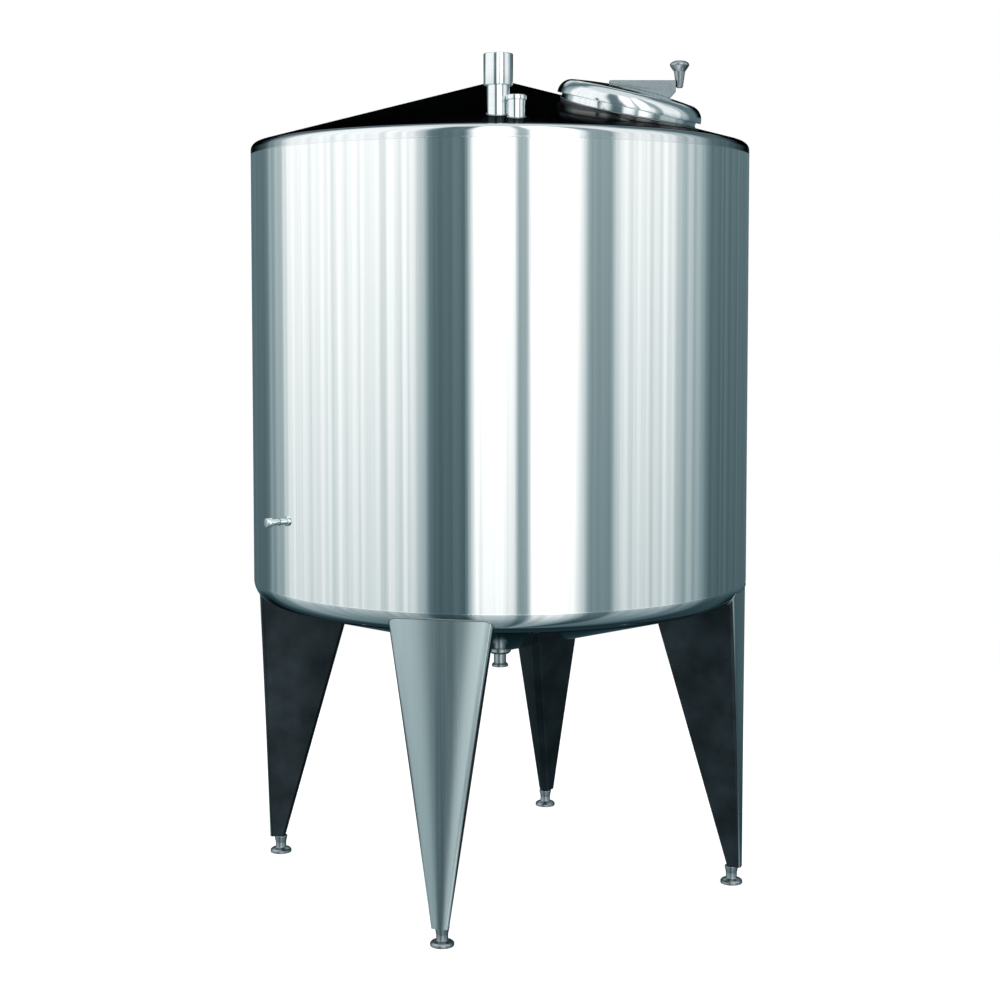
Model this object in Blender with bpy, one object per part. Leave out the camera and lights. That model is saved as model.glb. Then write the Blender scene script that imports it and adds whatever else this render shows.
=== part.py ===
"""Vertical stainless steel storage tank on four tapered sheet legs, with a hinged manway lid on its
conical roof. Metres, +Z up. The origin is on the tank's axis at floor level, and the four legs stand
on the X and Y axes, with the front leg at -Y."""

import math

import bmesh
import bpy
from mathutils import Matrix, Vector

# Body
TANK_RADIUS = 0.750
PLATE = 0.004
WALL_BOTTOM = 0.917
WALL_TOP = 2.1865
ROOF = {"slope": math.radians(15.25), "knuckle": 0.042}
FLOOR = {"slope": math.radians(14.75), "knuckle": 0.059}
WALL_SEGMENTS = 8
STEPS_ROUND = 72
KNUCKLE_STEPS = 5
LID_CROWN_STEPS = 5
LID_KNUCKLE_STEPS = 6
GAP = 0.0003

# Legs, each a closed taper of folded sheet with a curved outer face
LEG_NAMES = ("front", "right", "back", "left")
LEG_OUTER_RADIUS = 0.748
LEG_SHEET = 0.005
LEG_TOP = 0.920
LEG_BOTTOM = 0.0535
LEG_HALF_WIDTH_TOP = 0.156
LEG_HALF_WIDTH_BOTTOM = 0.0245
LEG_RIDGE_RADIUS_TOP = 0.452
LEG_RIDGE_RADIUS_BOTTOM = 0.7045
LEG_RIDGE_HALF_WIDTH_TOP = 0.018
LEG_RIDGE_HALF_WIDTH_BOTTOM = 0.013
LEG_BEND_TOP = 0.010
LEG_BEND_BOTTOM = 0.005
LEG_ARC_POINTS = 7
LEG_BEND_POINTS = 3
LEG_END_PLATE = 0.008

# Levelling feet
FOOT_RADIAL = 0.717
FOOT_PLATE_RADIUS = 0.033
FOOT_PLATE_HEIGHT = 0.012
FOOT_STEM_RADIUS = 0.0165
FOOT_TAPER_START = 0.032
FOOT_TOP_RADIUS = 0.021

# Manway, in its own frame: W along the neck, which leans outwards, U across towards the grip, and V
# towards the hinge
MANWAY_RADIAL = 0.423
MANWAY_AZIMUTH = math.radians(75.0)
MANWAY_TILT = math.radians(14.3)
MANWAY_TURN = math.radians(27.8)
NECK_RADIUS = 0.200
NECK_INSIDE = -0.030
NECK_TOP = 0.0385
GASKET_INNER = 0.190
GASKET_OUTER = 0.1965
GASKET_THICK = 0.004
LID_RADIUS = 0.2145
LID_SHEET = 0.003
LID_LOW = 0.010
LID_SKIRT_TOP = 0.014
LID_KNUCKLE = 0.042
LID_CROWN = 0.068

# Hinge behind the lid
HINGE_V = 0.243
HINGE_W = 0.020
PIN_RADIUS = 0.007
PIN_HEAD_RADIUS = 0.011
PIN_HALF_LENGTH = 0.032
EYE_RADIUS = 0.012
EYE_HALF_WIDTH = 0.015
TONGUE_THICK = 0.006
TONGUE_REACH = math.radians(55.0)
EAR_RADIUS = 0.015
EAR_INNER = 0.0175
EAR_OUTER = 0.0255
BRACKET_NEAR = 0.228
BRACKET_FAR = 0.262
BRACKET_BASE_TOP = -0.003

# Level arm on the lid and the upright grip at its end
ARM_START = -0.055
ARM_END = 0.1385
ARM_HALF_WIDTH = 0.013
ARM_TOP = 0.0895
ARM_END_LOW = 0.056
GRIP_X = 0.150
GRIP_PROFILE = (
    (0.0, 0.1475),
    (0.014, 0.1465),
    (0.023, 0.143),
    (0.028, 0.138),
    (0.0285, 0.133),
    (0.021, 0.1215),
    (0.0165, 0.116),
    (0.010, 0.068),
    (0.0, 0.068),
)

# Inlet and vent on the roof
INLET_RADIAL = 0.594
INLET_AZIMUTH = math.radians(12.25)
INLET_PIPE_RADIUS = 0.031
INLET_UNION_RADIUS = 0.040
INLET_UNION_LOW = 2.336
INLET_TOP = 2.422
VENT_RADIAL = 0.638
VENT_AZIMUTH = math.radians(16.65)
VENT_PIPE_RADIUS = 0.0235
VENT_CAP_RADIUS = 0.0275
VENT_CAP_LOW = 2.293
VENT_TOP = 2.307
PIPE_WALL = 0.003
PIPE_INSIDE = 0.020

# Outlet at the lowest point of the floor
OUTLET_PIPE_RADIUS = 0.019
OUTLET_PAD_RADIUS = 0.034
OUTLET_PAD_HEIGHT = 0.008
OUTLET_END = 0.630
OUTLET_FERRULE_RADIUS = 0.0253
OUTLET_FERRULE_HEIGHT = 0.006

# Sample port on the wall
PORT_AZIMUTH = math.radians(-44.3)
PORT_HEIGHT = 1.126
PORT_PIPE_RADIUS = 0.009
PORT_CAP_RADIUS = 0.014
PORT_LENGTH = 0.024
PORT_CAP_LENGTH = 0.018


def clear_scene():
    for old in list(bpy.data.objects):
        bpy.data.objects.remove(old, do_unlink=True)


def make_material(name, colour, metallic, roughness):
    material = bpy.data.materials.new(name)
    material.use_nodes = True
    shader = material.node_tree.nodes["Principled BSDF"]
    shader.inputs["Base Color"].default_value = (*colour, 1.0)
    shader.inputs["Metallic"].default_value = metallic
    shader.inputs["Roughness"].default_value = roughness
    material.diffuse_color = (*colour, 1.0)
    return material


def object_from_bmesh(name, shape, material, parent=None, sharp_angle=math.radians(35)):
    bmesh.ops.recalc_face_normals(shape, faces=shape.faces)
    mesh = bpy.data.meshes.new(name)
    shape.to_mesh(mesh)
    shape.free()
    mesh.shade_smooth()
    mesh.set_sharp_from_angle(angle=sharp_angle)
    if material:
        mesh.materials.append(material)
    made = bpy.data.objects.new(name, mesh)
    bpy.context.scene.collection.objects.link(made)
    made.parent = parent
    return made


def make_empty(name, matrix, parent=None):
    empty = bpy.data.objects.new(name, None)
    bpy.context.scene.collection.objects.link(empty)
    empty.parent = parent
    empty.matrix_local = matrix
    return empty


def make_cutter(cutter):
    cutter.hide_render = True
    cutter.display_type = "WIRE"
    return cutter


def cut(target, cutter):
    modifier = target.modifiers.new("cut by " + cutter.name, "BOOLEAN")
    modifier.operation = "DIFFERENCE"
    modifier.solver = "EXACT"
    modifier.object = cutter


def turned(name, profile, material, parent=None, steps=STEPS_ROUND, closed=False):
    """A solid of revolution about Z. The profile lists (radius, z). An open one starts and ends on
    the axis, and a closed one is a ring's section."""
    shape = bmesh.new()
    rings = []
    for radius, height in profile:
        if radius < 1e-6:
            rings.append([shape.verts.new((0, 0, height))] * steps)
            continue
        ring = []
        for step in range(steps):
            angle = 2 * math.pi * step / steps
            ring.append(shape.verts.new((radius * math.cos(angle), radius * math.sin(angle), height)))
        rings.append(ring)
    pairs = list(zip(rings, rings[1:]))
    if closed:
        pairs.append((rings[-1], rings[0]))
    for low, high in pairs:
        for step in range(steps):
            after = (step + 1) % steps
            corners = [low[step], low[after], high[after], high[step]]
            unique = list(dict.fromkeys(corners))
            if len(unique) > 2:
                shape.faces.new(unique)
    return object_from_bmesh(name, shape, material, parent)


def rod_profile(radius, low, high):
    return [(0.0, low), (radius, low), (radius, high), (0.0, high)]


def extruded(name, outline, low, high, material, parent=None, plane="XY"):
    """A flat outline pushed from low to high along the axis that the plane leaves out."""
    shape = bmesh.new()

    def point(a, b, c):
        return {"XY": (a, b, c), "XZ": (a, c, b), "YZ": (c, a, b)}[plane]

    below = [shape.verts.new(point(a, b, low)) for a, b in outline]
    above = [shape.verts.new(point(a, b, high)) for a, b in outline]
    shape.faces.new(below)
    shape.faces.new(above)
    count = len(outline)
    for i in range(count):
        j = (i + 1) % count
        shape.faces.new((below[i], below[j], above[j], above[i]))
    return object_from_bmesh(name, shape, material, parent)


def arc(centre, radius, start, end, steps):
    """Points along an arc, both ends included. Angles are in radians."""
    points = []
    for step in range(steps + 1):
        angle = start + (end - start) * step / steps
        points.append((centre[0] + radius * math.cos(angle), centre[1] + radius * math.sin(angle)))
    return points


def direction(azimuth):
    """The level unit vector at an azimuth counted from -Y towards +X."""
    return Vector((math.sin(azimuth), -math.cos(azimuth), 0.0))


def roof_height(radius):
    """The height of the roof cone's outer surface."""
    return roof_apex() - radius * math.tan(ROOF["slope"])


def cone_start(head):
    """Where a head's cone leaves its knuckle: radius, and distance past the wall's end."""
    centre_radius = TANK_RADIUS - head["knuckle"]
    return (
        centre_radius + head["knuckle"] * math.sin(head["slope"]),
        head["knuckle"] * math.cos(head["slope"]),
    )


def roof_apex():
    return WALL_TOP + cone_tip(ROOF, 0.0)


def floor_apex():
    return WALL_BOTTOM - cone_tip(FLOOR, 0.0)


def head_curve(head, inset, edge):
    """Half of a conical head's section, from the wall's edge to the cone, as (radius, rise)."""
    centre = (TANK_RADIUS - head["knuckle"], 0.0)
    points = arc(centre, head["knuckle"] - inset, 0.0, math.pi / 2 - head["slope"], KNUCKLE_STEPS)
    points[0] = (points[0][0], edge)
    return points


def cone_tip(head, inset):
    """The rise of the cone's tip above the wall's end."""
    radius, rise = cone_start(head)
    return rise + radius * math.tan(head["slope"]) - inset / math.cos(head["slope"])


def head_profile(head, edge, hole=0.0):
    """The section of a conical head: outer side from the middle out, then the inner side back."""
    outer = head_curve(head, 0.0, edge)
    inner = head_curve(head, PLATE, edge)
    fall = hole * math.tan(head["slope"])
    outer_tip = (hole, cone_tip(head, 0.0) - fall)
    inner_tip = (hole, cone_tip(head, PLATE) - fall)
    return [outer_tip] + outer[::-1] + inner + [inner_tip]


def build_wall(material):
    """The wall, rolled from sheets that meet at upright seams."""
    sweep = 2 * math.pi / WALL_SEGMENTS
    steps = STEPS_ROUND // WALL_SEGMENTS
    seam = GAP / 2 / TANK_RADIUS
    for segment in range(WALL_SEGMENTS):
        start = segment * sweep
        outer = []
        inner = []
        for step in range(steps + 1):
            angle = start + sweep * step / steps
            if step == 0:
                angle += seam
            if step == steps:
                angle -= seam
            outer.append((TANK_RADIUS * math.cos(angle), TANK_RADIUS * math.sin(angle)))
            bore = TANK_RADIUS - PLATE
            inner.append((bore * math.cos(angle), bore * math.sin(angle)))
        name = f"wall_segment_{segment + 1}"
        extruded(name, outer + inner[::-1], WALL_BOTTOM, WALL_TOP, material)


def build_heads(material):
    roof_section = [(r, WALL_TOP + rise) for r, rise in head_profile(ROOF, GAP)]
    roof = turned("roof_cone", roof_section, material)
    hole = OUTLET_PIPE_RADIUS + GAP
    floor_section = [(r, WALL_BOTTOM - drop) for r, drop in head_profile(FLOOR, GAP, hole)]
    turned("floor_cone", floor_section, material, closed=True)
    return roof


def head_cutter(name, head, side):
    """One end of the tank as a solid, grown by the gap, which trims what is fitted against it. The
    side is 1 for the roof and -1 for the floor."""
    edge = WALL_TOP if side > 0 else WALL_BOTTOM
    profile = [(0.0, edge + side * cone_tip(head, -GAP))]
    profile += [(radius, edge + side * rise) for radius, rise in head_curve(head, -GAP, 0.0)[::-1]]
    profile += [(TANK_RADIUS + GAP, edge - side * 0.2), (0.0, edge - side * 0.2)]
    return make_cutter(turned(name, profile, None))


def rounded_corner(before, corner, after, radius, steps):
    """Points that round one corner of an outline with an arc of the given radius."""
    corner = Vector(corner)
    to_before = (Vector(before) - corner).normalized()
    to_after = (Vector(after) - corner).normalized()
    half = to_before.angle(to_after) / 2
    reach = radius / math.tan(half)
    centre = corner + (to_before + to_after).normalized() * radius / math.sin(half)
    first = corner + to_before * reach - centre
    last = corner + to_after * reach - centre
    points = []
    for step in range(steps):
        share = step / (steps - 1)
        spoke = (first * (1 - share) + last * share).normalized() * radius
        points.append(tuple(centre + spoke))
    return points


def leg_section(half_width, ridge_radius, ridge_half, bend, inset):
    """The leg's outline in plan at one height, with +Y pointing out from the tank's axis."""
    outer_radius = LEG_OUTER_RADIUS - inset
    reach = (half_width - inset) / outer_radius
    ridge = ridge_radius + inset
    ridge_half = ridge_half - inset * 0.6
    corner_right = (outer_radius * math.sin(reach), outer_radius * math.cos(reach))
    corner_left = (-corner_right[0], corner_right[1])
    near_right = (ridge_half, ridge)
    near_left = (-ridge_half, ridge)
    bend = max(bend - inset, 0.001)
    flatter = reach * 0.9
    arc_right = (outer_radius * math.sin(flatter), outer_radius * math.cos(flatter))
    arc_left = (-arc_right[0], arc_right[1])
    right = rounded_corner(near_right, corner_right, arc_right, bend, LEG_BEND_POINTS)
    left = rounded_corner(arc_left, corner_left, near_left, bend, LEG_BEND_POINTS)
    used = math.atan2(right[-1][0], right[-1][1]) * 0.98
    crown = []
    for step in range(LEG_ARC_POINTS):
        angle = used - 2 * used * (step + 0.5) / LEG_ARC_POINTS
        crown.append((outer_radius * math.sin(angle), outer_radius * math.cos(angle)))
    return [near_left, near_right] + right + crown + left


def build_leg(name, azimuth, material, cutter):
    """One leg: an outer taper, hollowed by an inner one that stops above the end plate."""
    top_values = (LEG_HALF_WIDTH_TOP, LEG_RIDGE_RADIUS_TOP, LEG_RIDGE_HALF_WIDTH_TOP, LEG_BEND_TOP)
    low_values = (
        LEG_HALF_WIDTH_BOTTOM,
        LEG_RIDGE_RADIUS_BOTTOM,
        LEG_RIDGE_HALF_WIDTH_BOTTOM,
        LEG_BEND_BOTTOM,
    )
    share = LEG_END_PLATE / (LEG_TOP - LEG_BOTTOM)
    plate_values = [low + (top - low) * share for low, top in zip(low_values, top_values)]
    sections = (
        (LEG_BOTTOM, leg_section(*low_values, 0.0)),
        (LEG_TOP, leg_section(*top_values, 0.0)),
        (LEG_TOP, leg_section(*top_values, LEG_SHEET)),
        (LEG_BOTTOM + LEG_END_PLATE, leg_section(*plate_values, LEG_SHEET)),
    )
    shape = bmesh.new()
    rings = [[shape.verts.new((x, y, z)) for x, y in outline] for z, outline in sections]
    for low, high in zip(rings, rings[1:]):
        for i in range(len(low)):
            j = (i + 1) % len(low)
            shape.faces.new((low[i], low[j], high[j], high[i]))
    shape.faces.new(rings[0])
    shape.faces.new(rings[-1])
    leg = object_from_bmesh(f"leg_{name}", shape, material)
    leg.rotation_euler = (0, 0, azimuth - math.pi)
    cut(leg, cutter)


def build_foot(name, azimuth, material):
    """A levelling foot: a round plate and the smooth sleeve of its screw, which widens under the leg."""
    top = LEG_BOTTOM - GAP
    chamfer = 0.004
    profile = [
        (0.0, 0.0),
        (FOOT_PLATE_RADIUS, 0.0),
        (FOOT_PLATE_RADIUS, FOOT_PLATE_HEIGHT - chamfer),
        (FOOT_PLATE_RADIUS - chamfer, FOOT_PLATE_HEIGHT),
        (FOOT_STEM_RADIUS, FOOT_PLATE_HEIGHT + chamfer),
        (FOOT_STEM_RADIUS, FOOT_TAPER_START),
        (FOOT_TOP_RADIUS, top),
        (0.0, top),
    ]
    foot = turned(f"foot_{name}", profile, material, steps=24)
    foot.location = direction(azimuth) * FOOT_RADIAL


def manway_matrix():
    """The manway's frame: on the roof's surface, W along the neck, U across towards the grip."""
    outward = direction(MANWAY_AZIMUTH)
    origin = outward * MANWAY_RADIAL
    origin.z = roof_height(MANWAY_RADIAL)
    normal = outward * math.sin(MANWAY_TILT) + Vector((0, 0, math.cos(MANWAY_TILT)))
    along = Vector((0, 0, 1)).cross(outward).normalized()
    downhill = along.cross(normal).normalized()
    across = downhill * math.cos(MANWAY_TURN) + along * math.sin(MANWAY_TURN)
    away = normal.cross(across).normalized()
    turn = Matrix((across, away, normal)).transposed().to_4x4()
    return Matrix.Translation(origin) @ turn


def level_matrix():
    """The arm's frame: the manway's origin and heading, with Z upright."""
    manway = manway_matrix()
    heading = manway.col[0].to_3d()
    heading.z = 0.0
    heading.normalize()
    up = Vector((0, 0, 1))
    turn = Matrix((heading, up.cross(heading), up)).transposed().to_4x4()
    return Matrix.Translation(manway.to_translation()) @ turn


def build_neck(roof, frame, steel, rubber):
    cut(roof, make_cutter(turned("manway_hole", rod_profile(NECK_RADIUS + GAP, -0.2, 0.2), None, frame)))
    bore = NECK_RADIUS - PLATE
    neck_section = [
        (NECK_RADIUS, NECK_INSIDE),
        (NECK_RADIUS, NECK_TOP),
        (bore, NECK_TOP),
        (bore, NECK_INSIDE),
    ]
    turned("manway_neck", neck_section, steel, frame, closed=True)
    gasket_low = NECK_TOP + GAP
    gasket_section = [
        (GASKET_OUTER, gasket_low),
        (GASKET_OUTER, gasket_low + GASKET_THICK),
        (GASKET_INNER, gasket_low + GASKET_THICK),
        (GASKET_INNER, gasket_low),
    ]
    turned("manway_gasket", gasket_section, rubber, frame, closed=True)


def lid_curve(inset):
    """The lid's dish from its middle to the skirt: a spherical crown that runs into a knuckle arc."""
    middle = (LID_RADIUS - LID_KNUCKLE, LID_SKIRT_TOP)
    rise = LID_CROWN - LID_SKIRT_TOP
    reach = middle[0] ** 2 + rise**2 - LID_KNUCKLE**2
    crown_radius = reach / (2 * (rise - LID_KNUCKLE))
    crown_middle = LID_CROWN - crown_radius
    meeting = math.atan2(middle[0], middle[1] - crown_middle)
    crown = arc((0.0, crown_middle), crown_radius - inset, math.pi / 2, math.pi / 2 - meeting, LID_CROWN_STEPS)
    knuckle = arc(middle, LID_KNUCKLE - inset, math.pi / 2 - meeting, 0.0, LID_KNUCKLE_STEPS)
    return [(0.0, crown[0][1])] + crown[1:] + knuckle[1:]


def build_tongue(hinge, to_frame, steel):
    """The strap that runs from the lid's rim to the eye round the hinge pin."""
    middle = (LID_RADIUS - LID_KNUCKLE, LID_SKIRT_TOP)
    inner = LID_KNUCKLE + GAP
    outline = [(middle[0] + inner, LID_LOW + 0.002)]
    outline += arc(middle, inner, 0.0, TONGUE_REACH, 6)
    outline += arc(middle, inner + TONGUE_THICK, TONGUE_REACH, math.radians(18), 4)
    outline += arc((HINGE_V, HINGE_W), EYE_RADIUS, math.radians(110), math.radians(-140), 14)
    tongue = extruded("hinge_tongue", outline, -EYE_HALF_WIDTH, EYE_HALF_WIDTH, steel, hinge, plane="YZ")
    tongue.matrix_local = to_frame
    eye = turned("eye_bore", rod_profile(PIN_RADIUS + 2 * GAP, -0.1, 0.1), None, hinge, steps=24)
    eye.rotation_euler = (0, math.pi / 2, 0)
    cut(tongue, make_cutter(eye))


def build_arm(level, lid_space, steel):
    """The arm rests on the lid's crown at one end, and its free end carries the grip."""
    outline = [
        (ARM_START, 0.0),
        (ARM_END - 0.050, 0.0),
        (ARM_END, ARM_END_LOW),
        (ARM_END, ARM_TOP),
        (ARM_START, ARM_TOP),
    ]
    arm = extruded("lid_arm", outline, -ARM_HALF_WIDTH, ARM_HALF_WIDTH, steel, level, plane="XZ")
    cut(arm, lid_space)
    grown = [(radius + GAP if radius else 0.0, height) for radius, height in GRIP_PROFILE]
    grip_space = make_cutter(turned("grip_space", grown, None, level, steps=32))
    grip_space.location = (GRIP_X, 0, 0)
    cut(arm, grip_space)
    grip = turned("lid_grip", GRIP_PROFILE, steel, level, steps=32)
    grip.location = (GRIP_X, 0, 0)


def build_lid(hinge, frame_matrix, steel):
    """The lid with its tongue, arm and grip, which turn together about the hinge pin."""
    to_frame = Matrix.Translation((0, -HINGE_V, -HINGE_W))
    inside = lid_curve(LID_SHEET)
    profile = lid_curve(0.0) + [(LID_RADIUS, LID_LOW), (LID_RADIUS - LID_SHEET, LID_LOW)] + inside[::-1]
    lid = turned("manway_lid", profile, steel, hinge)
    lid.matrix_local = to_frame
    build_tongue(hinge, to_frame, steel)
    level = make_empty("arm_level", to_frame @ frame_matrix.inverted() @ level_matrix(), hinge)
    space = lid_curve(-GAP) + [(LID_RADIUS + GAP, LID_LOW - 0.2), (0.0, LID_LOW - 0.2)]
    lid_space = make_cutter(turned("lid_space", space, None, hinge))
    lid_space.matrix_local = to_frame
    build_arm(level, lid_space, steel)


def build_bracket(frame, roof_trim, steel):
    """Two ears on a base that stands on the roof, which carry the hinge pin."""
    outline = [(BRACKET_NEAR, HINGE_W), (BRACKET_NEAR, -0.060), (BRACKET_FAR, -0.060)]
    outline += arc((HINGE_V, HINGE_W), EAR_RADIUS, 0.0, math.pi, 10)[:-1]
    bracket = extruded("hinge_bracket", outline, -EAR_OUTER, EAR_OUTER, steel, frame, plane="YZ")
    slot = [(0.1, BRACKET_BASE_TOP), (0.4, BRACKET_BASE_TOP), (0.4, 0.2), (0.1, 0.2)]
    cut(bracket, make_cutter(extruded("bracket_slot", slot, -EAR_INNER, EAR_INNER, None, frame, plane="YZ")))
    bore = make_cutter(turned("ear_bore", rod_profile(PIN_RADIUS + GAP, -0.1, 0.1), None, frame, steps=24))
    bore.location = (0, HINGE_V, HINGE_W)
    bore.rotation_euler = (0, math.pi / 2, 0)
    cut(bracket, bore)
    cut(bracket, roof_trim)


def build_pin(frame, steel):
    edge = EAR_OUTER + GAP
    profile = [
        (0.0, -PIN_HALF_LENGTH),
        (PIN_HEAD_RADIUS, -PIN_HALF_LENGTH),
        (PIN_HEAD_RADIUS, -edge),
        (PIN_RADIUS, -edge),
        (PIN_RADIUS, edge),
        (PIN_HEAD_RADIUS, edge),
        (PIN_HEAD_RADIUS, PIN_HALF_LENGTH),
        (0.0, PIN_HALF_LENGTH),
    ]
    pin = turned("hinge_pin", profile, steel, frame, steps=24)
    pin.location = (0, HINGE_V, HINGE_W)
    pin.rotation_euler = (0, math.pi / 2, 0)


def build_roof_pipe(roof, name, radial, azimuth, pipe_radius, cap_radius, cap_low, top, steel):
    """An upright pipe through the roof, with a cap that closes its upper end."""
    place = direction(azimuth) * radial
    low = roof_height(radial) - PIPE_INSIDE
    pipe_top = cap_low + (top - cap_low) * 0.6
    pipe_section = [
        (pipe_radius, low),
        (pipe_radius, pipe_top),
        (pipe_radius - PIPE_WALL, pipe_top),
        (pipe_radius - PIPE_WALL, low),
    ]
    pipe = turned(f"{name}_pipe", pipe_section, steel, steps=32, closed=True)
    pipe.location = place
    chamfer = 0.003
    cap_profile = [
        (0.0, top),
        (cap_radius - chamfer, top),
        (cap_radius, top - chamfer),
        (cap_radius, cap_low),
        (pipe_radius + GAP, cap_low),
        (pipe_radius + GAP, pipe_top + GAP),
        (0.0, pipe_top + GAP),
    ]
    cap = turned(f"{name}_cap", cap_profile, steel, steps=32)
    cap.location = place
    cutter = turned(f"{name}_hole", rod_profile(pipe_radius + GAP, low - 0.1, top + 0.1), None, steps=32)
    cutter.location = place
    cut(roof, make_cutter(cutter))


def build_outlet(floor_trim, steel):
    """The outlet pipe through the floor's lowest point, with a pad that stiffens it."""
    top = floor_apex() + 0.020
    pipe_section = [
        (OUTLET_PIPE_RADIUS, top),
        (OUTLET_PIPE_RADIUS, OUTLET_END + OUTLET_FERRULE_HEIGHT * 2),
        (OUTLET_FERRULE_RADIUS, OUTLET_END + OUTLET_FERRULE_HEIGHT),
        (OUTLET_FERRULE_RADIUS, OUTLET_END),
        (OUTLET_PIPE_RADIUS - PIPE_WALL, OUTLET_END),
        (OUTLET_PIPE_RADIUS - PIPE_WALL, top),
    ]
    turned("outlet_pipe", pipe_section, steel, steps=32, closed=True)
    pad_low = floor_apex() - OUTLET_PAD_HEIGHT * 0.4
    pad_section = [
        (OUTLET_PIPE_RADIUS + GAP, floor_apex() + 0.03),
        (OUTLET_PAD_RADIUS, floor_apex() + 0.03),
        (OUTLET_PAD_RADIUS, pad_low + 0.006),
        (OUTLET_PAD_RADIUS - 0.006, pad_low),
        (OUTLET_PIPE_RADIUS + GAP, pad_low),
    ]
    pad = turned("outlet_pad", pad_section, steel, steps=32, closed=True)
    cut(pad, floor_trim)


def build_port(steel):
    """A small capped port that stands straight out of the wall."""
    outward = direction(PORT_AZIMUTH)
    start = TANK_RADIUS + GAP
    pipe = turned("sample_port", rod_profile(PORT_PIPE_RADIUS, 0.0, PORT_LENGTH), steel, steps=24)
    chamfer = 0.002
    low = PORT_LENGTH + GAP
    cap_profile = [
        (0.0, low),
        (PORT_CAP_RADIUS, low),
        (PORT_CAP_RADIUS, low + PORT_CAP_LENGTH - chamfer),
        (PORT_CAP_RADIUS - chamfer, low + PORT_CAP_LENGTH),
        (0.0, low + PORT_CAP_LENGTH),
    ]
    cap = turned("sample_port_cap", cap_profile, steel, steps=24)
    turn = outward.to_track_quat("Z", "Y").to_matrix().to_4x4()
    for piece in (pipe, cap):
        piece.matrix_world = Matrix.Translation(outward * start + Vector((0, 0, PORT_HEIGHT))) @ turn


def main():
    clear_scene()
    shell_steel = make_material("shell_steel", (0.62, 0.65, 0.66), 1.0, 0.30)
    head_steel = make_material("head_steel", (0.42, 0.45, 0.47), 1.0, 0.32)
    leg_steel = make_material("leg_steel", (0.50, 0.53, 0.55), 1.0, 0.34)
    bright_steel = make_material("bright_steel", (0.72, 0.75, 0.76), 1.0, 0.18)
    gasket_rubber = make_material("gasket_rubber", (0.02, 0.02, 0.02), 0.0, 0.6)
    build_wall(shell_steel)
    roof = build_heads(head_steel)
    floor_trim = head_cutter("floor_trim", FLOOR, -1)
    roof_trim = head_cutter("roof_trim", ROOF, 1)
    for quarter, name in enumerate(LEG_NAMES):
        azimuth = quarter * math.pi / 2
        build_leg(name, azimuth, leg_steel, floor_trim)
        build_foot(name, azimuth, bright_steel)
    frame_matrix = manway_matrix()
    frame = make_empty("manway_frame", frame_matrix)
    build_neck(roof, frame, bright_steel, gasket_rubber)
    build_bracket(frame, roof_trim, bright_steel)
    build_pin(frame, bright_steel)
    hinge = make_empty("lid_hinge_axis", Matrix.Translation((0, HINGE_V, HINGE_W)), frame)
    build_lid(hinge, frame_matrix, bright_steel)
    build_roof_pipe(
        roof,
        "inlet",
        INLET_RADIAL,
        INLET_AZIMUTH,
        INLET_PIPE_RADIUS,
        INLET_UNION_RADIUS,
        INLET_UNION_LOW,
        INLET_TOP,
        bright_steel,
    )
    build_roof_pipe(
        roof,
        "vent",
        VENT_RADIAL,
        VENT_AZIMUTH,
        VENT_PIPE_RADIUS,
        VENT_CAP_RADIUS,
        VENT_CAP_LOW,
        VENT_TOP,
        bright_steel,
    )
    build_outlet(floor_trim, bright_steel)
    build_port(bright_steel)


main()
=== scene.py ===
"""Looks of the stainless steel storage tank: smooth rolled and turned sheet, folded legs, levelling
feet, weld beads and brushed steel, in a plain studio. Metres, +Z up, front leg at -Y."""

import math

import bmesh
import bpy
from mathutils import Matrix, Vector


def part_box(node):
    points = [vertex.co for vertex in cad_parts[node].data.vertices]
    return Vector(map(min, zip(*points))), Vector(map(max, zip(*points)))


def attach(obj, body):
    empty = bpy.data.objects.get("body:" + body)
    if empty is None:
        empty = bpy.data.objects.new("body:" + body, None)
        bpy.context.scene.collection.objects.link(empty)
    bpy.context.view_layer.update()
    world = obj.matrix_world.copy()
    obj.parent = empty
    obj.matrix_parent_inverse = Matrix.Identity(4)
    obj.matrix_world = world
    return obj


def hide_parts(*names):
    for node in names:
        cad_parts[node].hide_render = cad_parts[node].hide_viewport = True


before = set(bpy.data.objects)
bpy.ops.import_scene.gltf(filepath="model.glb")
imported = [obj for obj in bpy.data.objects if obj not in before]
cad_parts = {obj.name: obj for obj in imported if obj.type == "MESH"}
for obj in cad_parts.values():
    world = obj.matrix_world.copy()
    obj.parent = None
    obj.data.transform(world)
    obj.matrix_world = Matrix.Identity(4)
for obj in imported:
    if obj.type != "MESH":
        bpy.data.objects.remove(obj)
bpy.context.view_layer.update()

# Camera, at the photograph's angle
CAMERA_AZIMUTH = math.radians(12.71)
CAMERA_DISTANCE = 5.6066
CAMERA_HEIGHT = 1.7557
CAMERA_PITCH = math.radians(3.58)
CAMERA_LENS = 66.055
CAMERA_SENSOR = 36.0
CAMERA_SHIFT = -0.0846
CAMERA_REACH = 200.0

# Studio: soft upright panels round the tank, as start and end in degrees from the camera, to the right
# of it above zero, and brightness
PANELS = (
    (-180, -135, 0.2),
    (-125, -120, 0.5),
    (-110, -40, 1.1),
    (-30, -15, 0.2),
    (-10, 5, 1.5),
    (8, 12, 0.5),
    (15, 30, 2.0),
    (40, 50, 0.4),
    (55, 80, 1.0),
    (90, 100, 0.6),
    (110, 180, 0.2),
)
PANEL_TOP_LEVEL = 2.0
# Fine upright lines in the panels: how much they vary the light, and how close they are
PANEL_LINES = 0.18
PANEL_LINE_SCALE = 95.0
PANEL_LINE_DETAIL = 3.0
PANEL_TINT = (1.32, 1.06, 1.0)
# Share of their brightness that the panels keep towards their lower ends, by elevation in degrees
PANEL_FADE = ((-90, 0.7), (-10, 0.7), (5, 1.0), (90, 1.0))
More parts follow.
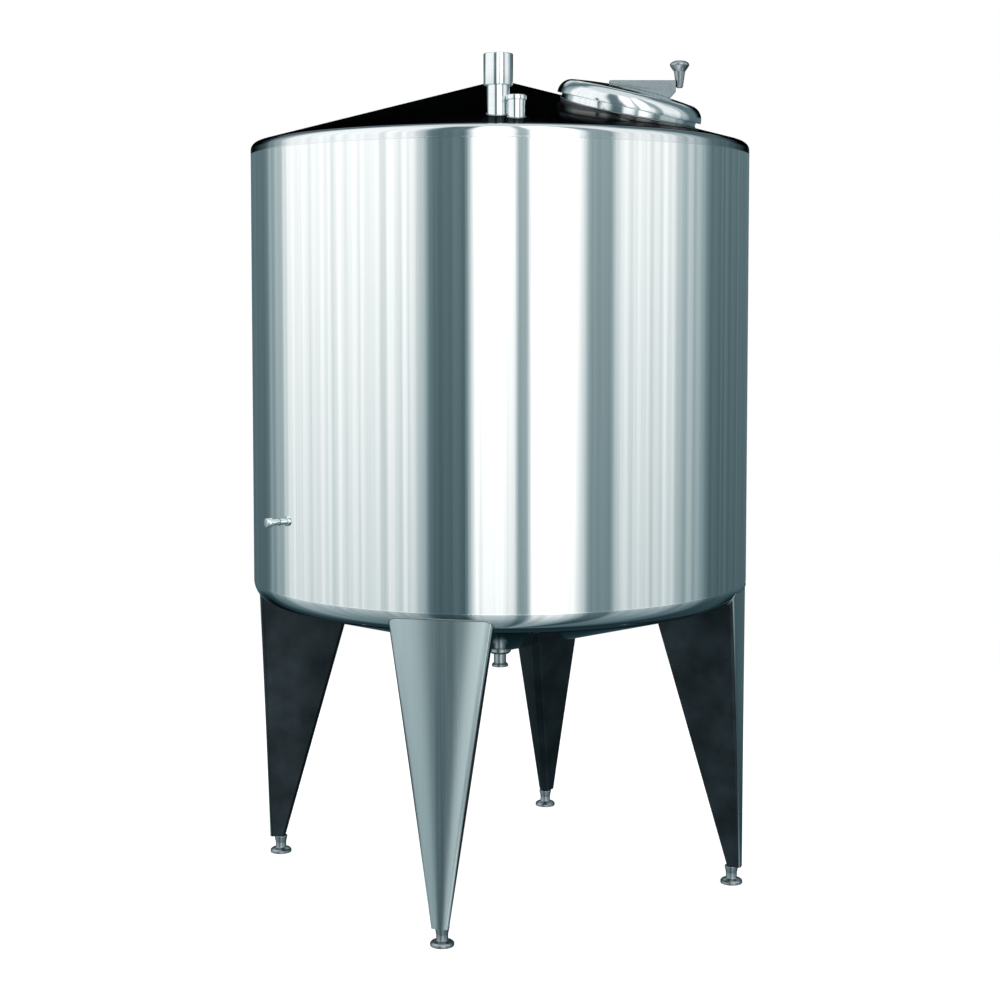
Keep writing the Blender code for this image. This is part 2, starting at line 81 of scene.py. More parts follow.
# Panel brightness by elevation, as (degrees, share): towards the camera and at the sides, then straight
# behind the tank
NEAR_LEVELS = (
    (-90, 0.24),
    (-60, 0.28),
    (-45, 0.38),
    (-30, 0.54),
    (-21, 0.62),
    (-17, 0.66),
    (-9.5, 1.0),
    (90, 1.0),
)
FAR_LEVELS = ((-90, 0.03), (-22, 0.04), (-16, 0.35), (-12, 1.0), (5.5, 1.0), (7.5, 0.004), (90, 0.004))
# Share of the ceiling's own light by elevation, in the same two parts
CEILING_SHARE = ((-90, 0.0), (60, 0.0), (68, 1.0), (90, 1.0))
FAR_CEILING_SHARE = ((-90, 0.0), (26, 0.0), (32, 1.0), (90, 1.0))
OVERHEAD_LEVEL = 0.85
# The part behind the tank, by how far a unit direction points to the camera
BEHIND_FULL = -0.80
BEHIND_START = -0.62
BACKDROP_LEVEL = 1.0
FLOOR_SIZE = 60.0
FLOOR_PAINT = (0.85, 0.85, 0.85, 1.0)
FLOOR_GLOW = 0.72
FLOOR_FADE_START = 1.2
FLOOR_FADE_END = 4.5

# Body
TANK_RADIUS = 0.750
PLATE = 0.004
ROOF = {"slope": math.radians(15.25), "knuckle": 0.022, "skirt": 0.0153}
FLOOR = {"slope": math.radians(14.75), "knuckle": 0.059, "skirt": 0.0}
WALL_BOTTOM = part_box("wall_segment_1")[0].z
WALL_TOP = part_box("wall_segment_1")[1].z
FINE_STEPS = 288
SMALL_STEPS = 64
KNUCKLE_STEPS = 18
PIPE_HOLE_LOW = 2.0
PIPE_HOLE_HIGH = 2.5

# Legs
LEG_NAMES = ("front", "right", "back", "left")
LEG_OUTER_RADIUS = 0.748
LEG_SHEET = 0.005
LEG_TOP = 0.920
LEG_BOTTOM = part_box("leg_front")[0].z
LEG_TOP_SHAPE = {
    "half_width": 0.159,
    "ridge_radius": 0.452,
    "ridge_half": 0.018,
    "bend": 0.014,
    "face_degrees": 12.5,
}
LEG_LOW_SHAPE = {
    "half_width": 0.027,
    "ridge_radius": 0.7045,
    "ridge_half": 0.013,
    "bend": 0.007,
    "face_degrees": 18.0,
}
LEG_CROWN_POINTS = 24
LEG_BEND_POINTS = 8
LEG_RIDGE_BEND = 0.005
LEG_ROWS = 28
LEG_END_PLATE = 0.008
LEG_LEAST_BEND = 0.001
LEG_LEAST_RIDGE_BEND = 0.0005
# Share of the inset by which the ridge narrows inside the sheet
LEG_RIDGE_INSET = 0.6
# Share of the face, from its middle, that a bend leaves alone
LEG_EVEN_FACE = 0.3
LEG_CROWN_SHARE = 0.98
# Steps of halving in the search for a meeting curve
HALVINGS = 26

# Levelling feet
FOOT_RADIAL = 0.717
FOOT_PLATE_RADIUS = 0.033
FOOT_PLATE_HEIGHT = 0.012
FOOT_STEM_RADIUS = 0.0165
FOOT_TAPER_START = 0.032
FOOT_TOP_RADIUS = 0.021
FOOT_PLATE_SLOPE = 0.004
FOOT_STEPS = 96

# Manway
MANWAY_RADIAL = 0.423
MANWAY_AZIMUTH = math.radians(75.0)
MANWAY_TILT = math.radians(14.3)
MANWAY_TURN = math.radians(27.8)
NECK_RADIUS = 0.200
NECK_INSIDE = -0.030
NECK_TOP = 0.0385
NECK_STEPS = 224
NECK_HOLE_REACH = 0.2
NECK_HOLE_STEPS = 192
NECK_SEARCH_REACH = 0.15
LID_RADIUS = 0.2145
LID_SHEET = 0.003
LID_LOW = 0.010
LID_SKIRT_TOP = 0.014
LID_KNUCKLE = 0.042
LID_CROWN = 0.068
LID_STEPS = 256
LID_CROWN_STEPS = 20
LID_KNUCKLE_STEPS = 16
LID_EDGE_STEPS = 8
HINGE_ACROSS = 0.243
HINGE_HEIGHT = 0.020
PIN_RADIUS = 0.007
PIN_HEAD_RADIUS = 0.011
PIN_HALF_LENGTH = 0.032
EAR_OUTER = 0.0255
GRIP_REACH = 0.150
GRIP_STEPS = 96
ARM_EDGE = 0.0025
GRIP_PROFILE = (
    (0.0, 0.1475),
    (0.014, 0.1465),
    (0.023, 0.143),
    (0.028, 0.138),
    (0.0285, 0.133),
    (0.021, 0.1215),
    (0.0165, 0.116),
    (0.010, 0.068),
    (0.0, 0.068),
)

# Inlet, vent, outlet and sample port
PIPE_WALL = 0.003
PIPE_INSIDE = 0.020
PIPE_STEPS = 128
FIT_GAP = 0.0002
CAP_DEPTH = 0.6
INLET = {"radial": 0.594, "azimuth": 12.25, "pipe": 0.031, "cap": 0.040, "low": 2.336, "top": 2.422}
VENT = {"radial": 0.638, "azimuth": 16.65, "pipe": 0.0235, "cap": 0.0275, "low": 2.293, "top": 2.307}
OUTLET_PIPE_RADIUS = 0.019
OUTLET_FERRULE_RADIUS = 0.0253
OUTLET_FERRULE_HEIGHT = 0.006
OUTLET_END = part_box("outlet_pipe")[0].z
OUTLET_PAD_RADIUS = 0.034
OUTLET_PAD_DROP = 0.0032
OUTLET_PAD_SLOPE = 0.006
OUTLET_PAD_SEAT = 0.001
PORT_AZIMUTH = math.radians(-44.3)
PORT_HEIGHT = 1.126
PORT_PIPE_RADIUS = 0.009
PORT_CAP_RADIUS = 0.014
PORT_LENGTH = 0.024
PORT_CAP_LENGTH = 0.018
PORT_INSIDE = 0.002

# Finishes. Between the two face radii the legs' matt mill finish, whose colour inside the legs is painted
# shade, turns into their polished face.
UPRIGHT_GRAIN = (1.0, 1.0, 0.006)
LEVEL_GRAIN = (1.0, 0.05, 1.0)
EVEN_GRAIN = (1.0, 1.0, 1.0)
RING_GRAIN = 0.03
PATCH_SCALE = 0.12
# Painted dark reflection: a near-black tint of the roof steel at grazing angles, which makes the roof look
# black
HEAD_PAINTED_DARK_EDGE_TINT = (0.012, 0.014, 0.016, 1.0)
# Painted shade: the near-black colour of the sheet inside the legs, with clouds that vary it
LEG_SHADE_COLOUR = (0.042, 0.053, 0.061)
MILL_ROUGHNESS = 0.40
LEG_SHADE_CLOUD_SCALE = 9.0
LEG_SHADE_CLOUD_DEPTH = 0.4
LEG_FACE_INNER = 0.7405
LEG_FACE_OUTER = 0.7430
BEATEN_SCALE = 16.0
BEATEN_RELIEF = 0.0028
RUBBER_COLOUR = (0.022, 0.022, 0.024, 1.0)
RUBBER_GRIT_SCALE = 700.0
RUBBER_RELIEF = 0.0001

# Sharp and rounded edges
SHARP_ANGLE = math.radians(30)
FLAT_ANGLE = math.radians(1.0)
MERGE_DISTANCE = 0.00002
EDGE_SEGMENTS = 3
SHEET_EDGE = 0.0012
PAD_EDGE = 0.0015
FOOT_EDGE = 0.0018
PORT_EDGE = 0.002
CAP_EDGE = 0.0025
GRIP_EDGE = 0.006

# Welds: their ripples, their radii, and the share of a wall seam's height that is ground off
BEAD_RIPPLE = 0.0042
BEAD_STEP = 0.0012
BEAD_SIDES = 8
BEAD_SHARP_ANGLE = math.radians(60)
BEAD_LEAST = 0.88
BEAD_SWELL = 0.16
SEAM_BEAD = 0.0018
SEAM_GROUND = 0.93
LEG_BEAD = 0.0022
NECK_BEAD = 0.0030
PIPE_BEAD = 0.0028
OUTLET_BEAD = 0.0022
PORT_BEAD = 0.0018


# Materials

def add_node(tree, kind, **settings):
    made = tree.nodes.new(kind)
    for key, value in settings.items():
        setattr(made, key, value)
    return made


def noise_along(tree, vector, scale, detail):
    noise = add_node(tree, "ShaderNodeTexNoise", noise_dimensions="3D")
    noise.inputs["Scale"].default_value = scale
    noise.inputs["Detail"].default_value = detail
    tree.links.new(vector, noise.inputs["Vector"])
    return noise.outputs["Fac"]


def remap(tree, value, low, high, from_low=0.3, from_high=0.7):
    """A value stretched from one range to another. Noise lies mostly in the first range given here."""
    node = add_node(tree, "ShaderNodeMapRange")
    node.inputs["From Min"].default_value = from_low
    node.inputs["From Max"].default_value = from_high
    node.inputs["To Min"].default_value = low
    node.inputs["To Max"].default_value = high
    tree.links.new(value, node.inputs["Value"])
    return node.outputs["Result"]


def set_or_link(tree, value, socket):
    """Gives a socket a plain number, or the output that feeds it."""
    if isinstance(value, float):
        socket.default_value = value
    else:
        tree.links.new(value, socket)


def multiply(tree, first, second):
    node = add_node(tree, "ShaderNodeMath", operation="MULTIPLY")
    set_or_link(tree, first, node.inputs[0])
    set_or_link(tree, second, node.inputs[1])
    return node.outputs["Value"]


def mix_values(tree, factor, first, second):
    node = add_node(tree, "ShaderNodeMix", data_type="FLOAT")
    tree.links.new(factor, node.inputs[0])
    set_or_link(tree, first, node.inputs[2])
    set_or_link(tree, second, node.inputs[3])
    return node.outputs[0]


def mix_colours(tree, factor):
    """A colour mix, its two colour sockets and its result."""
    node = add_node(tree, "ShaderNodeMix", data_type="RGBA")
    tree.links.new(factor, node.inputs[0])
    return node.inputs[6], node.inputs[7], node.outputs[2]


def straight_grain(tree, stretch):
    """Coordinates whose noise runs in long streaks: the stretch is under 1 along the grain."""
    place = add_node(tree, "ShaderNodeTexCoord")
    mapping = add_node(tree, "ShaderNodeMapping", vector_type="TEXTURE")
    mapping.inputs["Scale"].default_value = [1.0 / part for part in stretch]
    tree.links.new(place.outputs["Object"], mapping.inputs["Vector"])
    return mapping.outputs["Vector"]


def turned_grain(tree, stretch):
    """Coordinates whose noise runs in rings round the object's own Z axis."""
    place = add_node(tree, "ShaderNodeTexCoord")
    parts = add_node(tree, "ShaderNodeSeparateXYZ")
    tree.links.new(place.outputs["Object"], parts.inputs["Vector"])
    flat = add_node(tree, "ShaderNodeCombineXYZ")
    tree.links.new(parts.outputs["X"], flat.inputs["X"])
    tree.links.new(parts.outputs["Y"], flat.inputs["Y"])
    radius = add_node(tree, "ShaderNodeVectorMath", operation="LENGTH")
    tree.links.new(flat.outputs["Vector"], radius.inputs[0])
    along = add_node(tree, "ShaderNodeVectorMath", operation="SCALE")
    along.inputs["Scale"].default_value = stretch
    tree.links.new(flat.outputs["Vector"], along.inputs[0])
    ring = add_node(tree, "ShaderNodeCombineXYZ")
    tree.links.new(radius.outputs["Value"], ring.inputs["X"])
    tree.links.new(parts.outputs["Z"], ring.inputs["Y"])
    both = add_node(tree, "ShaderNodeVectorMath", operation="ADD")
    tree.links.new(ring.outputs["Vector"], both.inputs[0])
    tree.links.new(along.outputs["Vector"], both.inputs[1])
    return both.outputs["Vector"]


def shade(colour, share):
    """A colour made lighter or darker, with its alpha."""
    return [min(part * share, 1.0) for part in colour] + [1.0]


def steel_material(name, colour, roughness, grain, fine=320.0, relief=0.00002, mottle=0.06):
    """Stainless steel with a polishing grain in its colour, roughness and relief."""
    material = bpy.data.materials.new(name)
    material.use_nodes = True
    tree = material.node_tree
    shader = tree.nodes["Principled BSDF"]
    shader.inputs["Metallic"].default_value = 1.0
    vector = grain(tree)
    scratches = noise_along(tree, vector, fine, 4.0)
    patches = noise_along(tree, vector, fine * PATCH_SCALE, 2.0)
    streaks = add_node(tree, "ShaderNodeMath", operation="MULTIPLY_ADD")
    streaks.inputs[1].default_value = 0.5
    tree.links.new(scratches, streaks.inputs[0])
    tree.links.new(multiply(tree, patches, 0.5), streaks.inputs[2])
    streaks = streaks.outputs["Value"]
    dark, light, colour_out = mix_colours(tree, remap(tree, streaks, 0.0, 1.0))
    dark.default_value = shade(colour, 1.0 - mottle)
    light.default_value = shade(colour, 1.0 + mottle)
    tree.links.new(colour_out, shader.inputs["Base Color"])
    rough = remap(tree, streaks, roughness * 0.8, roughness * 1.25)
    tree.links.new(rough, shader.inputs["Roughness"])
    bump = add_node(tree, "ShaderNodeBump")
    bump.inputs["Strength"].default_value = 1.0
    bump.inputs["Distance"].default_value = relief
    tree.links.new(scratches, bump.inputs["Height"])
    tree.links.new(bump.outputs["Normal"], shader.inputs["Normal"])
    return material


def matt_and_shaded_inside(material):
    """Dulls the legs' steel behind their face: a matt mill finish where the sheet isn't polished, with a
    near-black colour there that is painted shade.
    """
    tree = material.node_tree
    shader = tree.nodes["Principled BSDF"]
    place = add_node(tree, "ShaderNodeTexCoord")
    flat = add_node(tree, "ShaderNodeVectorMath", operation="MULTIPLY")
    flat.inputs[1].default_value = (1.0, 1.0, 0.0)
    radius = add_node(tree, "ShaderNodeVectorMath", operation="LENGTH")
    tree.links.new(place.outputs["Object"], flat.inputs[0])
    tree.links.new(flat.outputs["Vector"], radius.inputs[0])
    polished = remap(tree, radius.outputs["Value"], 0.0, 1.0, LEG_FACE_INNER, LEG_FACE_OUTER)
    clouds = noise_along(tree, place.outputs["Object"], LEG_SHADE_CLOUD_SCALE, 4.0)
    # Painted shade: the inside of the legs takes a near-black colour with darker and lighter clouds
    dark, light, painted_shade_colour = mix_colours(tree, remap(tree, clouds, 0.0, 1.0))
    dark.default_value = shade(LEG_SHADE_COLOUR, 1.0 - LEG_SHADE_CLOUD_DEPTH)
    light.default_value = shade(LEG_SHADE_COLOUR, 1.0 + LEG_SHADE_CLOUD_DEPTH)
    inside, outside, colour = mix_colours(tree, polished)
    tree.links.new(painted_shade_colour, inside)
    tree.links.new(shader.inputs["Base Color"].links[0].from_socket, outside)
    tree.links.new(colour, shader.inputs["Base Color"])
    smooth = shader.inputs["Roughness"].links[0].from_socket
    tree.links.new(mix_values(tree, polished, MILL_ROUGHNESS, smooth), shader.inputs["Roughness"])


def beat(material):
    """Adds the slight unevenness of hand-dished sheet under a steel's grain."""
    tree = material.node_tree
    grain = next(node for node in tree.nodes if node.type == "BUMP")
    place = add_node(tree, "ShaderNodeTexCoord")
    waves = add_node(tree, "ShaderNodeBump")
    waves.inputs["Distance"].default_value = BEATEN_RELIEF
    tree.links.new(noise_along(tree, place.outputs["Object"], BEATEN_SCALE, 1.0), waves.inputs["Height"])
    tree.links.new(waves.outputs["Normal"], grain.inputs["Normal"])


def rubber_material():
    """Matt black rubber with a fine grit."""
    material = bpy.data.materials.new("gasket_rubber_look")
    material.use_nodes = True
    tree = material.node_tree
    shader = tree.nodes["Principled BSDF"]
    shader.inputs["Base Color"].default_value = RUBBER_COLOUR
    grit = noise_along(tree, straight_grain(tree, EVEN_GRAIN), RUBBER_GRIT_SCALE, 3.0)
    tree.links.new(remap(tree, grit, 0.5, 0.75), shader.inputs["Roughness"])
    bump = add_node(tree, "ShaderNodeBump")
    bump.inputs["Distance"].default_value = RUBBER_RELIEF
    tree.links.new(grit, bump.inputs["Height"])
    tree.links.new(bump.outputs["Normal"], shader.inputs["Normal"])
    return material


def make_materials():
    def upright(tree):
        return straight_grain(tree, UPRIGHT_GRAIN)

    def level(tree):
        return straight_grain(tree, LEVEL_GRAIN)

    def even(tree):
        return straight_grain(tree, EVEN_GRAIN)

    def ringed(tree):
        return turned_grain(tree, RING_GRAIN)

    materials = {
        "shell": steel_material("shell_steel_look", (0.86, 0.90, 0.90), 0.055, upright),
        "head": steel_material("head_steel_painted_dark_look", (0.80, 0.84, 0.85), 0.08, ringed),
        "underside": steel_material("underside_steel_look", (0.80, 0.84, 0.85), 0.08, ringed),
        "leg": steel_material("leg_steel_shaded_inside_look", (0.60, 0.70, 0.71), 0.21, upright),
        "turned": steel_material("turned_steel_look", (0.80, 0.85, 0.86), 0.12, ringed),
        "arm": steel_material("arm_steel_look", (0.26, 0.31, 0.33), 0.24, level),
        "satin": steel_material("satin_steel_look", (0.38, 0.43, 0.45), 0.28, ringed),
        "dished": steel_material("dished_steel_look", (0.80, 0.85, 0.86), 0.12, ringed),
        "bright": steel_material("bright_steel_look", (0.60, 0.65, 0.67), 0.25, level),
        "weld": steel_material(
            "weld_steel_look", (0.34, 0.37, 0.38), 0.35, even, fine=900.0, relief=0.0001, mottle=0.15
        ),
        "rubber": rubber_material(),
    }
    # Painted dark reflection: the roof's steel turns near black at grazing angles
    head = materials["head"].node_tree.nodes["Principled BSDF"]
    head.inputs["Specular Tint"].default_value = HEAD_PAINTED_DARK_EDGE_TINT
    # Paints shade inside the legs and makes the sheet there matt
    matt_and_shaded_inside(materials["leg"])
    beat(materials["dished"])
    return materials


# Mesh helpers

def make_piece(name, shape, material, matrix=None, sharp=SHARP_ANGLE):
    """An object from a bmesh, with its normals out and its round faces smooth."""
    bmesh.ops.recalc_face_normals(shape, faces=shape.faces)
    mesh = bpy.data.meshes.new(name)
    shape.to_mesh(mesh)
    shape.free()
    mesh.shade_smooth()
    mesh.set_sharp_from_angle(angle=sharp)
    if material:
        mesh.materials.append(material)
    made = bpy.data.objects.new(name, mesh)
    bpy.context.scene.collection.objects.link(made)
    if matrix:
        made.matrix_world = matrix
    return made


def dress(piece, body, slot, *nodes):
    """Ties a piece to its body, and to the nodes that it stands for, which it hides. The slot is not used.
    """
    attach(piece, body)
    if nodes:
        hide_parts(*nodes)
    return piece


def turned(name, profile, material, matrix=None, steps=FINE_STEPS, closed=False):
    """A solid of revolution about Z. An open profile starts and ends on the axis."""
    shape = bmesh.new()
    rings = []
    for radius, height in profile:
        if radius < 1e-6:
            rings.append([shape.verts.new((0, 0, height))] * steps)
            continue
        ring = []
        for step in range(steps):
            angle = 2 * math.pi * step / steps
            ring.append(shape.verts.new((radius * math.cos(angle), radius * math.sin(angle), height)))
        rings.append(ring)
    pairs = list(zip(rings, rings[1:]))
    if closed:
        pairs.append((rings[-1], rings[0]))
    for low, high in pairs:
        for step in range(steps):
            after = (step + 1) % steps
            unique = list(dict.fromkeys((low[step], low[after], high[after], high[step])))
            if len(unique) > 2:
                shape.faces.new(unique)
    return make_piece(name, shape, material, matrix)


def arc(centre, radius, start, end, steps):
    """Points on an arc, its two ends included."""
    points = []
    for step in range(steps + 1):
        angle = start + (end - start) * step / steps
        points.append((centre[0] + radius * math.cos(angle), centre[1] + radius * math.sin(angle)))
    return points


def rounded(profile, radius, steps=5):
    """A profile with each of its inner corners rounded by an arc, or less where it lacks room."""
    points = [profile[0]]
    for before, corner, after in zip(profile, profile[1:], profile[2:]):
        points += round_corner(before, corner, after, radius, steps)
    points.append(profile[-1])
    return points


def round_corner(before, corner, after, radius, steps):
    """The arc in place of a corner, as wide as its two sides have room for."""
    corner = Vector(corner)
    to_before = Vector(before) - corner
    to_after = Vector(after) - corner
    room = 0.49 * min(to_before.length, to_after.length)
    to_before.normalize()
    to_after.normalize()
    half = to_before.angle(to_after) / 2
    if half > math.radians(89.5):
        return [tuple(corner)]
    radius = min(radius, room * math.tan(half))
    reach = radius / math.tan(half)
    centre = corner + (to_before + to_after).normalized() * radius / math.sin(half)
    first = corner + to_before * reach - centre
    last = corner + to_after * reach - centre
    points = []
    for step in range(steps):
        share = step / (steps - 1)
        spoke = (first * (1 - share) + last * share).normalized() * radius
        points.append(tuple(centre + spoke))
    return points


def rounded_loop(outline, radius, steps=5):
    """A closed outline with every corner rounded."""
    points = []
    for i, corner in enumerate(outline):
        after = outline[(i + 1) % len(outline)]
        points += round_corner(outline[i - 1], corner, after, radius, steps)
    return points


def cut(target, *cutters):
    """Cuts the target's mesh with each cutter, and removes the cutters."""
    for cutter in cutters:
        modifier = target.modifiers.new("cut", "BOOLEAN")
        modifier.operation = "DIFFERENCE"
        modifier.object = cutter
    apply_modifiers(target)
    for cutter in cutters:
        bpy.data.objects.remove(cutter, do_unlink=True)


def apply_modifiers(target):
    bpy.context.view_layer.update()
    graph = bpy.context.evaluated_depsgraph_get()
    mesh = bpy.data.meshes.new_from_object(target.evaluated_get(graph), depsgraph=graph)
    target.modifiers.clear()
    target.data = mesh


def rod(name, radius, low, high, matrix=None, steps=96):
    """A plain round cutter."""
    profile = [(0.0, high), (radius, high), (radius, low), (0.0, low)]
    return turned(name, profile, None, matrix, steps)


def direction(azimuth):
    """The level unit vector at an azimuth counted from -Y towards +X."""
    return Vector((math.sin(azimuth), -math.cos(azimuth), 0.0))


# Weld beads

def even_path(points, spacing):
    """The closed path through the points, with points at an even spacing."""
    ends = points[1:] + points[:1]
    lengths = [(b - a).length for a, b in zip(points, ends)]
    total = sum(lengths)
    count = max(int(total / spacing), 12)
    path = []
    index = 0
    passed = 0.0
    for step in range(count):
        wanted = total * step / count
        while passed + lengths[index] < wanted and index < len(points) - 1:
            passed += lengths[index]
            index += 1
        share = (wanted - passed) / max(lengths[index], 1e-9)
        path.append(points[index].lerp(ends[index], min(share, 1.0)))
    return path


def build_bead(name, points, radius, material, flatten=None):
    """A rippled weld bead along a closed path. A flattened one lies low along that direction."""
    path = even_path(points, BEAD_STEP)
    count = len(path)
    shape = bmesh.new()
    rings = []
    for i, point in enumerate(path):
        along = (path[(i + 1) % count] - path[i - 1]).normalized()
        side = along.cross(Vector((0, 0, 1)))
        if side.length < 0.1:
            side = along.cross(Vector((1, 0, 0)))
        side.normalize()
        up = side.cross(along)
        phase = (i * BEAD_STEP / BEAD_RIPPLE) % 1.0
        thickness = radius * (BEAD_LEAST + BEAD_SWELL * phase)
        ring = []
        for k in range(BEAD_SIDES):
            angle = 2 * math.pi * k / BEAD_SIDES
            spoke = (side * math.cos(angle) + up * math.sin(angle)) * thickness
            if flatten:
                spoke = flatten(point, spoke)
            ring.append(shape.verts.new(point + spoke))
        rings.append(ring)
    for i, ring in enumerate(rings):
        following = rings[(i + 1) % count]
        for k in range(BEAD_SIDES):
            after = (k + 1) % BEAD_SIDES
            shape.faces.new((ring[k], ring[after], following[after], following[k]))
    bead = make_piece(name, shape, material, sharp=BEAD_SHARP_ANGLE)
    return dress(bead, "tank", "shell_steel")


# Body

def cone_start(head):
    """Where a head's cone leaves its knuckle: radius, and distance past the wall's end."""
    centre_radius = TANK_RADIUS - head["knuckle"]
    return (
        centre_radius + head["knuckle"] * math.sin(head["slope"]),
        head["skirt"] + head["knuckle"] * math.cos(head["slope"]),
    )


def cone_tip(head, inset=0.0):
    """The rise of the cone's tip past the wall's end."""
    radius, rise = cone_start(head)
    return rise + radius * math.tan(head["slope"]) - inset / math.cos(head["slope"])


def head_rise(radius, head):
    """How far past the wall's end a head's outer surface is, at a radius."""
    start, _ = cone_start(head)
    if radius < start:
        return cone_tip(head) - radius * math.tan(head["slope"])
    knuckle = head["knuckle"]
    inward = min(radius - TANK_RADIUS + knuckle, knuckle)
    return head["skirt"] + math.sqrt(knuckle**2 - inward**2)


def roof_height(radius):
    return WALL_TOP + head_rise(radius, ROOF)


def floor_height(radius):
    return WALL_BOTTOM - head_rise(radius, FLOOR)


def head_profile(head, hole):
    """A head's section, outer side first, as radius and distance past the wall's end."""
    centre = (TANK_RADIUS - head["knuckle"], head["skirt"])
    edge = [(TANK_RADIUS, 0.0), (TANK_RADIUS - PLATE, 0.0)] if head["skirt"] else []
    steep = math.pi / 2 - head["slope"]
    outer = arc(centre, head["knuckle"], steep, 0.0, KNUCKLE_STEPS)
    inner = arc(centre, head["knuckle"] - PLATE, 0.0, steep, KNUCKLE_STEPS)
    fall = hole * math.tan(head["slope"])
    return [(hole, cone_tip(head) - fall)] + outer + edge + inner + [(hole, cone_tip(head, PLATE) - fall)]


def build_body(materials):
    """The wall, the roof with its openings, and the floor."""
    wall_section = [
        (TANK_RADIUS, WALL_BOTTOM),
        (TANK_RADIUS, WALL_TOP),
        (TANK_RADIUS - PLATE, WALL_TOP),
        (TANK_RADIUS - PLATE, WALL_BOTTOM),
    ]
    wall = turned("shell", wall_section, materials["shell"], closed=True)
    dress(wall, "tank", "shell_steel", *[f"wall_segment_{number}" for number in range(1, 9)])
    roof_section = [(radius, WALL_TOP + rise) for radius, rise in head_profile(ROOF, 0.0)]
    roof = turned("roof", roof_section, materials["head"])
    neck_frame = manway_matrix()
    holes = [rod("neck_hole", NECK_RADIUS, -NECK_HOLE_REACH, NECK_HOLE_REACH, neck_frame, NECK_HOLE_STEPS)]
    for pipe in (INLET, VENT):
        place = direction(math.radians(pipe["azimuth"])) * pipe["radial"]
        matrix = Matrix.Translation(place)
        holes.append(rod("pipe_hole", pipe["pipe"], PIPE_HOLE_LOW, PIPE_HOLE_HIGH, matrix))
    cut(roof, *holes)
    roof.data.shade_smooth()
    roof.data.set_sharp_from_angle(angle=SHARP_ANGLE)
    dress(roof, "tank", "head_steel", "roof_cone")
    floor_profile = head_profile(FLOOR, OUTLET_PIPE_RADIUS)
    floor_section = [(radius, WALL_BOTTOM - rise) for radius, rise in floor_profile]
    floor = turned("floor_head", floor_section, materials["underside"], closed=True)
    dress(floor, "tank", "head_steel", "floor_cone")


def ring_points(radius, height, count=360):
    """Points evenly round a level circle."""
    points = []
    for step in range(count):
        angle = 2 * math.pi * step / count
        points.append(Vector((radius * math.cos(angle), radius * math.sin(angle), height)))
    return points


def build_wall_seams(materials):
    """Ground welds where the wall meets its heads, only just proud of the sheet."""

    def lie_low(point, spoke):
        outward = Vector((point.x, point.y, 0)).normalized()
        proud = spoke.dot(outward)
        return spoke - outward * proud * SEAM_GROUND

    for name, height in (("roof_seam", WALL_TOP), ("floor_seam", WALL_BOTTOM)):
        points = ring_points(TANK_RADIUS, height)
        build_bead(name, points, SEAM_BEAD, materials["turned"], flatten=lie_low)


# Legs

def face_point(radius, middle, angle):
    """A point on the leg's curved outer face, in plan."""
    return (radius * math.sin(angle), middle + radius * math.cos(angle))


def leg_section(share, inset):
    """The leg's outline in plan, from share 0 at its lower end to 1 at the wall, with +Y outwards."""
    values = {}
    for key, low in LEG_LOW_SHAPE.items():
        values[key] = low + (LEG_TOP_SHAPE[key] - low) * share
    face_reach = math.radians(values["face_degrees"])
    face_radius = values["half_width"] / math.sin(face_reach) - inset
    face_middle = LEG_OUTER_RADIUS - inset - face_radius
    corner = face_point(face_radius, face_middle, face_reach)
    inner_of_arc = face_point(face_radius, face_middle, face_reach * LEG_EVEN_FACE)
    ridge = values["ridge_radius"] + inset
    ridge_half = values["ridge_half"] - inset * LEG_RIDGE_INSET
    bend = max(values["bend"] - inset, LEG_LEAST_BEND)
    near = (ridge_half, ridge)
    right = round_corner(near, corner, inner_of_arc, bend, LEG_BEND_POINTS)
    near_bend = max(LEG_RIDGE_BEND - inset, LEG_LEAST_RIDGE_BEND)
    near_right = round_corner((-ridge_half, ridge), near, corner, near_bend, LEG_BEND_POINTS)
    used = math.atan2(right[-1][0], right[-1][1] - face_middle) * LEG_CROWN_SHARE
    crown = []
    for step in range(LEG_CROWN_POINTS):
        angle = used - 2 * used * (step + 0.5) / LEG_CROWN_POINTS
        crown.append(face_point(face_radius, face_middle, angle))
    half = near_right + right
    mirrored = [(-x, y) for x, y in half[::-1]]
    return half + crown + mirrored


def leg_top_share(index, inset):
    """How far up the leg its outline's point meets the floor head, by halving the interval."""
    low, high = 0.0, 1.0
    for _ in range(HALVINGS):
        middle = (low + high) / 2
        x, y = leg_section(middle, inset)[index]
        height = LEG_BOTTOM + (LEG_TOP - LEG_BOTTOM) * middle
        if height < floor_height(math.hypot(x, y)):
            low = middle
        else:
            high = middle
    return low


def leg_rows(inset, lowest):
    """Rows of points up the leg, from its lower end to the curve where it meets the floor head."""
    count = len(leg_section(0.0, inset))
    tops = [leg_top_share(index, inset) for index in range(count)]
    rows = []
    for row in range(LEG_ROWS + 1):
        part = row / LEG_ROWS
        points = []
        for index, top in enumerate(tops):
            share = lowest + (top - lowest) * part
            x, y = leg_section(share, inset)[index]
            points.append((x, y, LEG_BOTTOM + (LEG_TOP - LEG_BOTTOM) * share))
        rows.append(points)
    return rows


